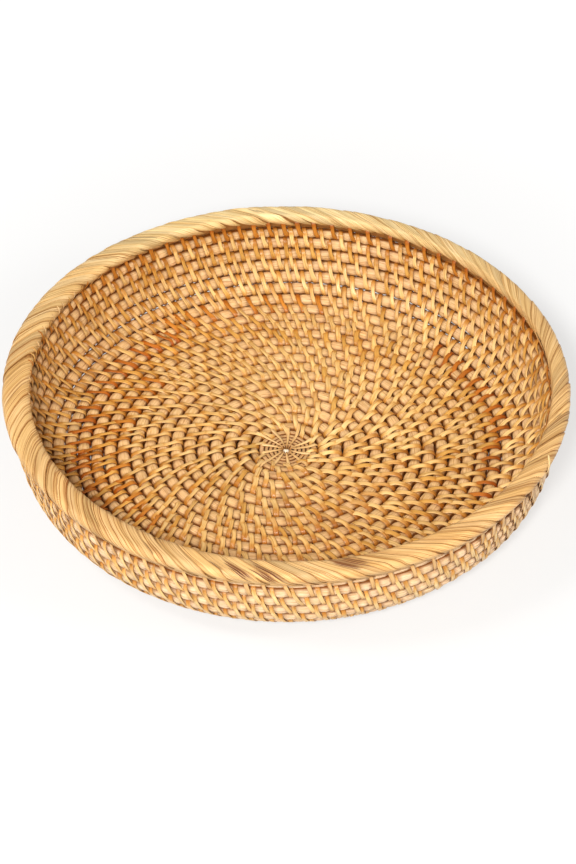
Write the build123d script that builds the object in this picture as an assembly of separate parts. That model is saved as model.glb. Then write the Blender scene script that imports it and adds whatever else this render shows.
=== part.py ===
from build123d import *
import math
import os

# Coiled rattan tray: a round core laid as a flat spiral that turns up into a
# steep wall, sewn with split-rattan stitches that each span two coils, and
# closed by a wrapped rim.  Millimetres, +Z up, origin on the resting plane
# at the centre of the tray.

# ---------------------------------------------------------------- dimensions
OUTER_RADIUS = 150.0        # over the rim wrap
CORE_R = 3.1                # radius of the round rattan core
BIND_T = 0.4                # thickness of the sewn binding on the core
FLAT_CUT = 0.1              # pressed flat where the tray rests
FLOOR_Z = CORE_R + BIND_T - FLAT_CUT        # height of the floor core's axis

FLAT_R = 114.0              # radius where the flat floor ends (core axis)
BEND_R = 26.0               # radius of the bend between floor and wall
WALL_DEG = 79.2             # slope of the wall above the bend

FINE_START = 2.6            # first turn's radius round the centre hole
FINE_STEPS = [1.15] * 8     # growth of the spiral per half turn, fine turns
LEAD_STEPS = [1.4, 1.8, 2.3, 2.8, 3.3]      # growth where the core thickens
MAIN_HALF_TURNS = 40        # half turns of full-size core

RIM_COIL_R = 143.5          # rim coil axis
RIM_COIL_Z = 47.0
ROD_R = 2.7                 # radius of both rim rods
WRAP_GAP = 0.05
WRAP_T = 0.4
ROD_IN = (140.3, 51.9)      # inner rod axis (radius, height)
ROD_OUT = (OUTER_RADIUS - ROD_R - WRAP_GAP - WRAP_T, 51.9)  # outer rod axis

ROWS = 20                   # sewn rows on full-size core
FLOOR_ROWS = 13             # of these, flat on the floor

# ---------------------------------------------------------------- profile
WALL = math.radians(WALL_DEG)


def profile(s):
    """Core axis at developed length s from the centre: (radius, height)."""
    if s <= FLAT_R:
        return s, FLOOR_Z
    a = (s - FLAT_R) / BEND_R
    if a <= WALL:
        return (FLAT_R + BEND_R * math.sin(a),
                FLOOR_Z + BEND_R * (1 - math.cos(a)))
    d = s - FLAT_R - BEND_R * WALL
    return (FLAT_R + BEND_R * math.sin(WALL) + d * math.cos(WALL),
            FLOOR_Z + BEND_R * (1 - math.cos(WALL)) + d * math.sin(WALL))


# developed length at which the wall reaches the rim coil
S_RIM = (FLAT_R + BEND_R * WALL
         + (RIM_COIL_Z - FLOOR_Z - BEND_R * (1 - math.cos(WALL)))
         / math.sin(WALL))

S = [FINE_START]
for d in FINE_STEPS + LEAD_STEPS:
    S.append(S[-1] + d)
FIRST_MAIN = len(S) - 1                     # index of the first main half turn
# the main spiral ends one pitch below the rim coil
STEP = (S_RIM - S[-1]) / (MAIN_HALF_TURNS + 2)
for i in range(MAIN_HALF_TURNS):
    S.append(S[-1] + STEP)
PITCH = 2 * STEP
N_HALF = len(S) - 1


def junction(j):
    """Point of the core axis where half turn j starts, on the X axis."""
    r, z = profile(S[j])
    return Vector(r if j % 2 == 0 else -r, 0, z)


def half_turn(j):
    """Centre, radius and the two in-plane directions of half turn j."""
    a, b = junction(j), junction(j + 1)
    c = (a + b) * 0.5
    rad = (b - a).length / 2
    e1 = (a - c).normalized()
    e2 = Vector(0, -1 if j % 2 == 0 else 1, 0)
    return c, rad, e1, e2


def on_core(j, phi):
    """Core axis point on half turn j, phi radians from its start."""
    c, rad, e1, e2 = half_turn(j)
    return c + e1 * (rad * math.cos(phi)) + e2 * (rad * math.sin(phi))


def swept_half(j, section):
    """Section (a face in the XZ plane about the origin) turned through half
    turn j about its own tilted axis."""
    a, b = junction(j), junction(j + 1)
    c, rad, e1, e2 = half_turn(j)
    n = e1.cross(e2).normalized()
    side = 1 if j % 2 == 0 else -1
    face = section if side == 1 else section.mirror(Plane.YZ)
    return revolve(face.moved(Location(a)), axis=Axis(c, n),
                   revolution_arc=180)


def disc(radius, hole=0.0):
    pl = Plane(origin=(0, 0, 0), x_dir=(1, 0, 0), z_dir=(0, -1, 0))
    sec = pl * Circle(radius)
    if hole:
        sec = sec - pl * Circle(hole)
    return sec.face()


def tube(j0, j1, radius):
    """Round core over half turns j0 .. j1-1, one solid."""
    body = None
    for j in range(j0, j1):
        piece = swept_half(j, disc(radius))
        body = piece if body is None else body + piece
    return body


def arc_tube(r_axis, z_axis, radius, a0=0.0, sweep_deg=360.0):
    """Round rod bent to part of a level circle about Z."""
    sec = Plane(origin=(r_axis, 0, z_axis), x_dir=(1, 0, 0),
                z_dir=(0, -1, 0)) * Circle(radius)
    body = revolve(sec, axis=Axis.Z, revolution_arc=sweep_deg)
    return body.rotate(Axis.Z, a0)


def hull_loop(circles):
    """Closed tangent outline round circles given counter-clockwise."""
    n = len(circles)
    pts = []
    for i in range(n):
        (x0, y0, r0), (x1, y1, r1) = circles[i], circles[(i + 1) % n]
        dx, dy = x1 - x0, y1 - y0
        dist = math.hypot(dx, dy)
        base = math.atan2(dy, dx)
        a = base - math.acos((r0 - r1) / dist)
        pts.append(((x0 + r0 * math.cos(a), y0 + r0 * math.sin(a)),
                    (x1 + r1 * math.cos(a), y1 + r1 * math.sin(a)), a))
    edges = []
    for i in range(n):
        edges.append(Line(pts[i][0], pts[i][1]))
        a0, a1 = pts[i][2], pts[(i + 1) % n][2]
        while a1 <= a0:
            a1 += 2 * math.pi
        x, y, r = circles[(i + 1) % n]
        m = (a0 + a1) / 2
        edges.append(ThreePointArc(
            pts[i][1], (x + r * math.cos(m), y + r * math.sin(m)),
            pts[(i + 1) % n][0]))
    return Wire(edges)


def washer(r0, r1, z0, z1):
    """Flat ring about Z."""
    ring = Face(Wire.make_circle(r1, Plane(origin=(0, 0, z0))),
                [Wire.make_circle(r0, Plane(origin=(0, 0, z0)))])
    return extrude(ring, amount=z1 - z0, dir=(0, 0, 1))


# ---------------------------------------------------------------- core nodes
nodes = {}


def fine_radius(j):
    """Core radius on half turn j, kept just under half the local pitch."""
    local = [S[k + 1] - S[k] for k in (max(j - 1, 0), j)]
    return min(CORE_R, 0.44 * (local[0] + local[1]))


n_fine = len(FINE_STEPS)
FINE_R = 0.44 * 2 * FINE_STEPS[0]
nodes["core_centre_start"] = tube(0, n_fine, FINE_R)
lead = []
for j in range(n_fine, FIRST_MAIN):
    lead.append(tube(j, j + 1, fine_radius(j)))
lead_solid = lead[0]
for piece in lead[1:]:
    lead_solid = lead_solid + piece
nodes["core_tapered_lead"] = lead_solid

cuts = [("core_floor_inner", FIRST_MAIN, FIRST_MAIN + 8),
        ("core_floor_middle", FIRST_MAIN + 8, FIRST_MAIN + 17),
        ("core_floor_outer", FIRST_MAIN + 17, FIRST_MAIN + 26),
        ("core_bend", FIRST_MAIN + 26, FIRST_MAIN + 34),
        ("core_wall", FIRST_MAIN + 34, N_HALF)]
for name, j0, j1 in cuts:
    nodes[name] = tube(j0, j1, CORE_R)

# the last turn thins out in the wedge below the level rim coil
TAPER_PARTS = 12
parts = []
for i in range(TAPER_PARTS):
    u = (i + 0.5) / TAPER_PARTS
    turn = u * 2 * math.pi
    below = on_core(N_HALF - 2 if turn < math.pi else N_HALF - 1,
                    turn % math.pi)
    r0, z0 = math.hypot(below.X, below.Y), below.Z
    free = (math.hypot(RIM_COIL_R - r0, RIM_COIL_Z - z0)
            - 2 * CORE_R - BIND_T - WRAP_GAP - WRAP_T)
    rad = free / 2 - 0.45
    if rad < 0.5:
        break
    start = (180.0 if N_HALF % 2 else 0.0) - (i + 1) * 360.0 / TAPER_PARTS
    parts.append(arc_tube((r0 + RIM_COIL_R) / 2, (z0 + RIM_COIL_Z) / 2,
                          min(rad, CORE_R - 0.1), start, 360.0 / TAPER_PARTS))
nodes["core_tapered_end"] = parts

nodes["rim_coil"] = arc_tube(RIM_COIL_R, RIM_COIL_Z, CORE_R)
nodes["rim_rod_inner"] = arc_tube(ROD_IN[0], ROD_IN[1], ROD_R)
nodes["rim_rod_outer"] = arc_tube(ROD_OUT[0], ROD_OUT[1], ROD_R)

# ---------------------------------------------------------------- binding
# The sewn strip of each row is a closed sleeve on its coil.  The floor rows'
# sleeves are flat below, where the tray rests.
sleeve = disc(CORE_R + BIND_T, CORE_R + 0.05)
flat = CORE_R + BIND_T - FLAT_CUT
low = Plane(origin=(0, 0, 0), x_dir=(1, 0, 0), z_dir=(0, -1, 0))
floor_sleeve = (low * Circle(CORE_R + BIND_T)
                - low * Pos(0, -(flat + 5)) * Rectangle(20, 10)
                - low * Circle(CORE_R + 0.05)).face()

centre_r = S[n_fine] - 1.6                  # clear of the thickening core
nodes["binding_centre"] = [
    washer(S[0], centre_r, FLOOR_Z + FINE_R + 0.05, FLOOR_Z + FINE_R + 0.45),
    washer(S[0], centre_r, FLOOR_Z - FINE_R - 0.45, FLOOR_Z - FINE_R - 0.05)]
nodes["binding_first_rows"] = [
    washer(S[n_fine] + 1.5, S[FIRST_MAIN] - 3.0, FLOOR_Z + CORE_R,
           FLOOR_Z + CORE_R + 0.35),
    washer(S[n_fine] + 1.5, S[FIRST_MAIN] - 3.0, 0.0, 0.3)]
for k in range(ROWS):
    j = FIRST_MAIN + 1 + 2 * k
    zone = "floor" if k < FLOOR_ROWS else "wall"
    section = floor_sleeve if k < FLOOR_ROWS else sleeve
    nodes["binding_%s_row_%02d" % (zone, k + 1)] = [
        swept_half(i, section) for i in (j, j + 1) if i < N_HALF]

# ---------------------------------------------------------------- rim
# the wrap closes round the rim coil and both rods
rim = [(RIM_COIL_R, RIM_COIL_Z, CORE_R), (ROD_OUT[0], ROD_OUT[1], ROD_R),
       (ROD_IN[0], ROD_IN[1], ROD_R)]
xz = Plane(origin=(0, 0, 0), x_dir=(1, 0, 0), z_dir=(0, -1, 0))
inner = hull_loop([(x, y, r + WRAP_GAP) for x, y, r in rim])
outer = hull_loop([(x, y, r + WRAP_GAP + WRAP_T) for x, y, r in rim])
nodes["rim_wrap"] = revolve(xz * Face(outer, [inner]), axis=Axis.Z,
                            revolution_arc=360)

# ---------------------------------------------------------------- write
os.makedirs("parts", exist_ok=True)
for name, shape in nodes.items():
    if isinstance(shape, list):
        flat = []
        for s in shape:
            flat += list(s.solids())
        shape = Compound(flat)
    export_step(shape, "parts/%s.step" % name)
print(len(nodes), "nodes; pitch %.3f, half turns %d" % (PITCH, N_HALF),
      "rim s %.2f" % S_RIM, "rim coil r on profile %.2f" % profile(S_RIM)[0])
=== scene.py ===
import bpy
import math
import numpy as np
from mathutils import Matrix, Vector


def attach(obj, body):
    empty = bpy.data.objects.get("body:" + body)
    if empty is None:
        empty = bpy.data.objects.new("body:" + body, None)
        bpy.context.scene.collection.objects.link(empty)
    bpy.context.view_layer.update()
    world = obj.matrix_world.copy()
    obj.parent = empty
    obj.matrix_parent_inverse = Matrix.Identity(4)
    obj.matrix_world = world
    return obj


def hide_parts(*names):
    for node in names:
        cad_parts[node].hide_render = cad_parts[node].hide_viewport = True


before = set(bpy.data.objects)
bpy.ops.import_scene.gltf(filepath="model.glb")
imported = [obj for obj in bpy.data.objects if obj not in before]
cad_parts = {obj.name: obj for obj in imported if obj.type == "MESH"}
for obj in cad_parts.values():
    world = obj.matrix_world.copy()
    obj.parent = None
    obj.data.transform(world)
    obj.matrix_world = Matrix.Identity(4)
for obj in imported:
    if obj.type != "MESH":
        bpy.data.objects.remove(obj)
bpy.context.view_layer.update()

rng = np.random.default_rng(7)
MM = 0.001

# ------------------------------------------------------------------ profile
# The same design numbers as the CAD, in millimetres.
CORE_R = 3.1
FLOOR_Z = 3.4
LIFT = 0.32              # real stitches are thicker than the CAD sleeves
FLAT_R, BEND_R, WALL = 114.0, 26.0, math.radians(79.2)
FINE_STEPS = [1.15] * 8
LEAD_STEPS = [1.4, 1.8, 2.3, 2.8, 3.3]
RIM_R, RIM_Z = 143.5, 47.0
S_RIM = (FLAT_R + BEND_R * WALL
         + (RIM_Z - FLOOR_Z - BEND_R * (1 - math.cos(WALL))) / math.sin(WALL))
S = [2.6]
for d in FINE_STEPS + LEAD_STEPS:
    S.append(S[-1] + d)
FIRST = len(S) - 1                       # 13
STEP = (S_RIM - S[-1]) / 42
for i in range(40):
    S.append(S[-1] + STEP)
S = np.array(S)
NH = len(S) - 1                          # 53
PITCH = 2 * STEP


def profile(s):
    s = np.asarray(s, float)
    a = np.clip((s - FLAT_R) / BEND_R, 0, WALL)
    d = np.maximum(s - FLAT_R - BEND_R * WALL, 0)
    r = np.where(s <= FLAT_R, s, FLAT_R + BEND_R * np.sin(a) + d * math.cos(WALL))
    z = FLOOR_Z + np.where(s <= FLAT_R, 0, BEND_R * (1 - np.cos(a)) + d * math.sin(WALL))
    return r, z


JR, JZ = profile(S)
JX = np.where(np.arange(NH + 1) % 2 == 0, JR, -JR)

TAPER_FREE = 0.3


def core_pos(h):
    """Axis of the spiral at half-turn coordinate h; past NH it is the
    tapered end, wedged between the turn below and the rim coil."""
    h = np.asarray(h, float)
    hh = np.where(h >= NH, h - 2, h)
    hh = np.clip(hh, 0, NH - 1e-9)
    j = np.floor(hh).astype(int)
    phi = (hh - j) * np.pi
    cx = (JX[j] + JX[j + 1]) / 2
    cz = (JZ[j] + JZ[j + 1]) / 2
    dx = JX[j] - cx
    dz = JZ[j] - cz
    rad = np.hypot(dx, dz)
    sy = np.where(j % 2 == 0, -1.0, 1.0)
    p = np.stack([cx + dx * np.cos(phi), sy * rad * np.sin(phi),
                  cz + dz * np.cos(phi)], -1)
    # tapered end: midway between the turn below and the rim coil
    r0 = np.hypot(p[..., 0], p[..., 1])
    k = (r0 + RIM_R) / 2 / np.maximum(r0, 1e-9)
    q = np.stack([p[..., 0] * k, p[..., 1] * k, (p[..., 2] + RIM_Z) / 2], -1)
    return np.where((h >= NH)[..., None], q, p)


def rim_pos(a):
    return np.stack([RIM_R * np.cos(a), -RIM_R * np.sin(a),
                     np.full_like(a, RIM_Z)], -1)


def core_rad(h):
    """Radius of the core along the spiral."""
    h = np.asarray(h, float)
    hs = np.array([0, 7.5, 8.5, 9.5, 10.5, 11.5, 12.5, 13.5, 60])
    rs = np.array([1.0, 1.02, 1.2, 1.5, 1.95, 2.4, 2.85, 3.1, 3.1])
    r = np.interp(h, hs, rs)
    t = np.clip((h - NH) / 2, 0, 1)
    return np.where(h > NH, CORE_R - 2.65 * t, r)


# ------------------------------------------------------------------ stitches
ROW_COUNTS = [18, 22, 27, 32, 37, 42, 47, 53, 59, 66, 73, 78, 81, 83, 84, 86,
              87, 88, 89, 90]


def next_row(prev, count):
    n = len(prev)
    gaps = []
    for i in range(n):
        a, b = prev[i], prev[(i + 1) % n]
        if b <= a:
            b += 2 * math.pi
        gaps.append((a, b))
    order = sorted(range(n), key=lambda i: (-(gaps[i][1] - gaps[i][0]),
                                            (i * 7919) % n))
    split = set(order[:max(0, count - n)])
    out = []
    for i, (a, b) in enumerate(gaps):
        w = b - a
        if i in split:
            out += [a + w * (1 / 3 + rng.uniform(-.03, .03)),
                    a + w * (2 / 3 + rng.uniform(-.03, .03))]
        else:
            out.append(a + w * (0.5 + rng.uniform(-.11, .11)))
    return sorted(x % (2 * math.pi) for x in out)


rows = [[2 * math.pi * (i + 0.27 + rng.uniform(-.08, .08)) / 10 for i in range(10)]]
for c in [14] + ROW_COUNTS + [90]:
    rows.append(next_row(rows[-1], c))
# rows[0]: j0=10, rows[1]: j0=12, rows[2 + k]: j0 = 14 + 2k, last: rim row


LEAN_UNDER = 0.27                        # part of the stitch pitch, underneath


def lean(j0):
    """Sideways shift of a stitch over the top, mm."""
    return float(np.interp(j0, [10, 20, 38, 44, 56], [2.4, 2.9, 2.65, 1.8, 1.35]))


def row_radius(j0):
    """Mean radius between the two coils a row of stitches spans."""
    return float((JR[min(j0, NH)] + JR[min(j0 - 1, NH)]) / 2) if j0 <= NH else RIM_R


def hidden(pitch, j0):
    """Sideways travel left for the passes through the gaps."""
    return pitch * (1 - LEAN_UNDER) - lean(j0)


def crossings():
    """For each turn, the angles where strips cross its upper side and its
    under side, so the core can be pinched there."""
    out = {}
    for m, ang in enumerate(rows):
        j0 = 10 + 2 * m
        R = row_radius(j0)
        n = len(ang)
        for i in range(n):
            a0 = ang[i]
            gap = (ang[(i + 1) % n] - a0) % (2 * math.pi)
            pit = gap * R
            hid = hidden(pit, j0)
            ln = lean(j0)
            under = ln / 2 + 0.6 * hid
            for j, top, bot in ((j0, -0.38 * ln, under + 0.82 * LEAN_UNDER * pit),
                                (j0 - 2, 0.27 * ln, under + 0.18 * LEAN_UNDER * pit)):
                o = out.setdefault(j, [[], []])
                o[0].append(a0 + top / R)
                o[1].append(a0 + bot / R)
    return out


CROSS = crossings()


def pinch(h):
    """(upper, under): 0 between strips .. 1 at a strip."""
    h = np.asarray(h, float)
    out = np.zeros((2, len(h)))
    for j0, both in CROSS.items():
        sel = (h >= j0) & (h < j0 + 2)
        if not sel.any():
            continue
        hs = h[sel]
        p = core_pos(hs)
        R = np.hypot(p[:, 0], p[:, 1])
        ang = (hs - j0) * np.pi
        for k in (0, 1):
            c = np.array(both[k])
            d = np.abs((ang[:, None] - c[None] + np.pi) % (2 * np.pi) - np.pi)
            best = d.min(1) * R
            out[k, sel] = np.maximum(out[k, sel], np.exp(-(best / 1.45) ** 4))
    return out


# ------------------------------------------------------------------ mesh util


def make_mesh(name, V, F, uv_grain, uv_bake, tint, mat, smooth=True):
    """V (n,3) mm, F (m,4), uv per loop (m*4,2), tint per vertex (n,4)."""
    me = bpy.data.meshes.new(name)
    me.vertices.add(len(V))
    me.vertices.foreach_set("co", (np.asarray(V, np.float32) * MM).ravel())
    m = len(F)
    me.loops.add(m * 4)
    me.loops.foreach_set("vertex_index", np.asarray(F, np.int32).ravel())
    me.polygons.add(m)
    me.polygons.foreach_set("loop_start", np.arange(0, m * 4, 4, dtype=np.int32))
    me.polygons.foreach_set("loop_total", np.full(m, 4, np.int32))
    me.polygons.foreach_set("use_smooth", np.full(m, smooth))
    me.update(calc_edges=True)
    u = me.uv_layers.new(name="grain")
    u.data.foreach_set("uv", np.asarray(uv_grain, np.float32).ravel())
    if uv_bake is not None:
        b = me.uv_layers.new(name="OFBake")
        b.data.foreach_set("uv", np.asarray(uv_bake, np.float32).ravel())
    col = me.color_attributes.new("tint", 'FLOAT_COLOR', 'POINT')
    col.data.foreach_set("color", np.asarray(tint, np.float32).ravel())
    me.validate()
    ob = bpy.data.objects.new(name, me)
    bpy.context.scene.collection.objects.link(ob)
    me.materials.append(mat)
    return ob


def sweep_tube(P, Nrm, Bin, X, Y, closed_ring=True):
    """Sections (X, Y arrays (n, m)) along path P with frames Nrm, Bin."""
    V = P[:, None, :] + Bin[:, None, :] * X[..., None] + Nrm[:, None, :] * Y[..., None]
    return V


class Batch:
    """Gathers swept strips into one mesh with its own bake layout."""

    def __init__(self):
        self.V, self.F, self.G, self.B, self.T = [], [], [], [], []
        self.n = 0
        self.isl = []            # bake islands: width, height (mm)

    def add(self, V, along, across, tint, cap=True, cuts=None):
        """V (n, m, 3) closed section loops; along (n,), across (m+1,) in mm;
        tint (n, 4) or (n, m, 4). cuts: ring indices where islands split."""
        n, m = V.shape[:2]
        idx = np.arange(n * m).reshape(n, m) + self.n
        a = idx[:-1]
        b = idx[1:]
        F = np.stack([a, np.roll(a, -1, 1), np.roll(b, -1, 1), b], -1)
        G = np.zeros((n - 1, m, 4, 2))
        G[..., 0, 0] = G[..., 1, 0] = along[:-1, None]
        G[..., 2, 0] = G[..., 3, 0] = along[1:, None]
        G[..., 0, 1] = G[..., 3, 1] = across[None, :-1]
        G[..., 1, 1] = G[..., 2, 1] = across[None, 1:]
        self.V.append(V.reshape(-1, 3))
        self.F.append(F.reshape(-1, 4))
        self.G.append(G.reshape(-1, 2))
        cuts = [0] + (list(cuts) if cuts is not None else []) + [n - 1]
        B = np.zeros((n - 1, m, 4, 2))
        I = np.zeros((n - 1, m), int)
        for c0, c1 in zip(cuts[:-1], cuts[1:]):
            if c1 <= c0:
                continue
            I[c0:c1] = len(self.isl)
            B[c0:c1] = G[c0:c1]
            B[c0:c1, ..., 0] -= along[c0]
            self.isl.append((along[c1] - along[c0], across[-1] - across[0]))
        B[..., 1] -= across[0]
        self.B.append((B.reshape(-1, 4, 2), I.reshape(-1)))
        if tint.ndim == 2:
            tint = np.repeat(tint[:, None, :], m, 1)
        self.T.append(tint.reshape(-1, 4))
        if cap:
            for ring, flip in ((idx[0], False), (idx[-1], True)):
                h = m // 2
                q = []
                r = list(ring) if flip else list(ring[::-1])
                for i in range(0, h - 1):
                    q.append([r[i], r[i + 1], r[m - 2 - i], r[m - 1 - i]])
                q = np.array(q)
                self.F.append(q)
                self.G.append(np.zeros((len(q) * 4, 2)) + [along[0], across[0]])
                self.B.append((np.zeros((len(q), 4, 2)), np.full(len(q), len(self.isl) - 1)))
        self.n += n * m

    def bake_uv(self):
        isl = self.isl
        order = sorted(range(len(isl)), key=lambda i: -isl[i][0])
        area = sum((w + .6) * (h + .6) for w, h in isl)
        side = math.sqrt(area) * 1.02
        for _ in range(60):
            x = y = 0.0
            colw = 0.0
            pos = {}
            ok = True
            # columns: islands stacked with their length along X
            rowh = 0.0
            for i in order:
                w, h = isl[i][0] + .6, isl[i][1] + .6
                if x + w > side:
                    x = 0.0
                    y += rowh
                    rowh = 0.0
                if w > side or y + h > side:
                    ok = False
                    break
                pos[i] = (x + .3, y + .3)
                x += w
                rowh = max(rowh, h)
            if ok:
                break
            side *= 1.04
        P = np.array([pos.get(i, (0, 0)) for i in range(len(isl))])
        out = []
        for B, I in self.B:
            out.append(((B + P[I][:, None, :]) / side).reshape(-1, 2))
        return np.concatenate(out)

    def build(self, name, mat):
        V = np.concatenate(self.V)
        F = np.concatenate(self.F)
        G = np.concatenate(self.G)
        T = np.concatenate(self.T)
        return make_mesh(name, V, F, G, self.bake_uv(), T, mat)


def unit(v):
    return v / np.maximum(np.linalg.norm(v, axis=-1, keepdims=True), 1e-12)


def frames_at(h, h0=None, a=None, top="core"):
    """Local frame of the pair of coils h0 (inner) and h (outer)."""
    P1 = core_pos(h) if top == "core" else rim_pos(a)
    P0 = core_pos(h0)
    E = P1 - P0
    d = np.linalg.norm(E, axis=-1)
    E = E / d[..., None]
    T = np.stack([-np.sin(a), -np.cos(a), np.zeros_like(a)], -1)   # clockwise
    N = unit(np.cross(T, E))
    T = np.cross(E, N)
    return P0, E, N, T, d


# ------------------------------------------------------------------ materials


def new_mat(name):
    m = bpy.data.materials.new(name)
    m.use_nodes = True
    nt = m.node_tree
    b = nt.nodes["Principled BSDF"]
    return m, nt, b


def nd(nt, kind, **kw):
    n = nt.nodes.new(kind)
    for k, v in kw.items():
        if k.startswith("i_"):
            n.inputs[k[2:].replace("_", " ")].default_value = v
        else:
            setattr(n, k, v)
    return n


def cane_material(name, light, mid, dark, streak, rough, spec, bump, scale_u,
                  scale_v, fine=1.0, extra=None):
    """Striped cane: streaks run along the grain map's U."""
    m, nt, b = new_mat(name)
    L = nt.links
    uv = nd(nt, "ShaderNodeUVMap", uv_map="grain")
    mp = nd(nt, "ShaderNodeMapping")
    mp.inputs["Scale"].default_value = (scale_u, scale_v, 1)
    L.new(uv.outputs[0], mp.inputs[0])
    n1 = nd(nt, "ShaderNodeTexNoise", noise_dimensions='2D')
    n1.inputs["Scale"].default_value = 1.0
    n1.inputs["Detail"].default_value = 3.0
    n1.inputs["Roughness"].default_value = 0.6
    L.new(mp.outputs[0], n1.inputs["Vector"])
    mp2 = nd(nt, "ShaderNodeMapping")
    mp2.inputs["Scale"].default_value = (scale_u * 0.35, scale_v * 3.2, 1)
    mp2.inputs["Location"].default_value = (3.1, 7.7, 0)
    L.new(uv.outputs[0], mp2.inputs[0])
    n2 = nd(nt, "ShaderNodeTexNoise", noise_dimensions='2D')
    n2.inputs["Scale"].default_value = 1.0
    n2.inputs["Detail"].default_value = 2.0
    L.new(mp2.outputs[0], n2.inputs["Vector"])
    geo = nd(nt, "ShaderNodeTexCoord")
    n3 = nd(nt, "ShaderNodeTexNoise", noise_dimensions='3D')
    n3.inputs["Scale"].default_value = 38.0
    n3.inputs["Detail"].default_value = 2.0
    L.new(geo.outputs["Object"], n3.inputs["Vector"])
    ramp = nd(nt, "ShaderNodeValToRGB")
    e = ramp.color_ramp.elements
    e[0].position = 0.30
    e[0].color = (*dark, 1)
    e[1].position = 0.72
    e[1].color = (*light, 1)
    k = e.new(0.5)
    k.color = (*mid, 1)
    mix = nd(nt, "ShaderNodeMath", operation='MULTIPLY_ADD')
    mix.inputs[1].default_value = 0.55
    L.new(n1.outputs[0], mix.inputs[0])
    mul = nd(nt, "ShaderNodeMath", operation='MULTIPLY')
    mul.inputs[1].default_value = 0.45
    L.new(n2.outputs[0], mul.inputs[0])
    L.new(mul.outputs[0], mix.inputs[2])
    L.new(mix.outputs[0], ramp.inputs[0])
    # fine dark fibre lines
    mp3 = nd(nt, "ShaderNodeMapping")
    mp3.inputs["Scale"].default_value = (scale_u * 0.6, scale_v * 6.5 * fine, 1)
    L.new(uv.outputs[0], mp3.inputs[0])
    n4 = nd(nt, "ShaderNodeTexNoise", noise_dimensions='2D')
    n4.inputs["Scale"].default_value = 1.0
    n4.inputs["Detail"].default_value = 1.0
    L.new(mp3.outputs[0], n4.inputs["Vector"])
    lr = nd(nt, "ShaderNodeMapRange")
    lr.inputs[1].default_value = 0.60 if extra is None else extra[0]
    lr.inputs[2].default_value = 0.78 if extra is None else extra[1]
    lr.inputs[3].default_value = 0.0
    lr.inputs[4].default_value = streak
    L.new(n4.outputs[0], lr.inputs[0])
    att = nd(nt, "ShaderNodeVertexColor", layer_name="tint")
    m1 = nd(nt, "ShaderNodeMix", data_type='RGBA', blend_type='MULTIPLY')
    m1.inputs[0].default_value = 1.0
    L.new(ramp.outputs[0], m1.inputs[6])
    L.new(att.outputs[0], m1.inputs[7])
    m2 = nd(nt, "ShaderNodeMix", data_type='RGBA', blend_type='MULTIPLY')
    m2.inputs[7].default_value = (0.50, 0.30, 0.14, 1)
    L.new(lr.outputs[0], m2.inputs[0])
    L.new(m1.outputs[2], m2.inputs[6])
    # blotches of ageing
    br = nd(nt, "ShaderNodeMapRange")
    br.inputs[1].default_value = 0.42
    br.inputs[2].default_value = 0.75
    br.inputs[3].default_value = 0.0
    br.inputs[4].default_value = 0.35
    L.new(n3.outputs[0], br.inputs[0])
    m3 = nd(nt, "ShaderNodeMix", data_type='RGBA', blend_type='MULTIPLY')
    m3.inputs[7].default_value = (0.90, 0.78, 0.62, 1)
    L.new(br.outputs[0], m3.inputs[0])
    L.new(m2.outputs[2], m3.inputs[6])
    L.new(m3.outputs[2], b.inputs["Base Color"])
    rr = nd(nt, "ShaderNodeMapRange")
    rr.inputs[3].default_value = rough - 0.08
    rr.inputs[4].default_value = rough + 0.14
    L.new(n2.outputs[0], rr.inputs[0])
    L.new(rr.outputs[0], b.inputs["Roughness"])
    b.inputs["Specular IOR Level"].default_value = spec
    bm = nd(nt, "ShaderNodeBump")
    bm.inputs["Strength"].default_value = bump
    bm.inputs["Distance"].default_value = 0.0002
    sm = nd(nt, "ShaderNodeMath", operation='ADD')
    L.new(n2.outputs[0], sm.inputs[0])
    L.new(n4.outputs[0], sm.inputs[1])
    L.new(sm.outputs[0], bm.inputs["Height"])
    L.new(bm.outputs[0], b.inputs["Normal"])
    return m


# U and V of the grain map are in millimetres.
mat_core = cane_material("rattan_core", (0.89, 0.67, 0.40), (0.80, 0.565, 0.30),
                         (0.63, 0.40, 0.165), 0.70, 0.52, 0.28, 0.8, 0.16, 0.9, 0.36)
mat_bind = cane_material("rattan_binding", (0.93, 0.69, 0.335), (0.84, 0.585, 0.245),
                         (0.62, 0.36, 0.10), 0.45, 0.30, 0.42, 0.5, 0.07, 0.8, 0.4)
mat_rim = cane_material("rattan_rim_strip", (0.94, 0.75, 0.45), (0.83, 0.62, 0.32),
                        (0.54, 0.34, 0.13), 1.0, 0.42, 0.35, 1.0, 0.022, 0.60, 0.46, (0.57, 0.74))

# ------------------------------------------------------------------ cores
SQUASH = 1.35


def flatten(V):
    """The underside is pressed flat where it rests: a rising map of Z below
    1 mm, the same for cores and stitches, so their order is kept."""
    z = V[..., 2]
    low = 1.0 - SQUASH + SQUASH * np.exp((np.minimum(z, 1.0) - 1.0) / SQUASH)
    V[..., 2] = np.where(z < 1.0, np.maximum(low, 0.02), z)
    return V


def slope_at(h):
    """Slope of the profile under the spiral at h."""
    hh = np.clip(np.asarray(h, float), 0, NH - 1e-9)
    j = np.floor(hh).astype(int)
    s = S[j] + (S[j + 1] - S[j]) * (1 - np.cos((hh - j) * np.pi)) / 2
    return np.clip((s - FLAT_R) / BEND_R, 0, WALL)


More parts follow.
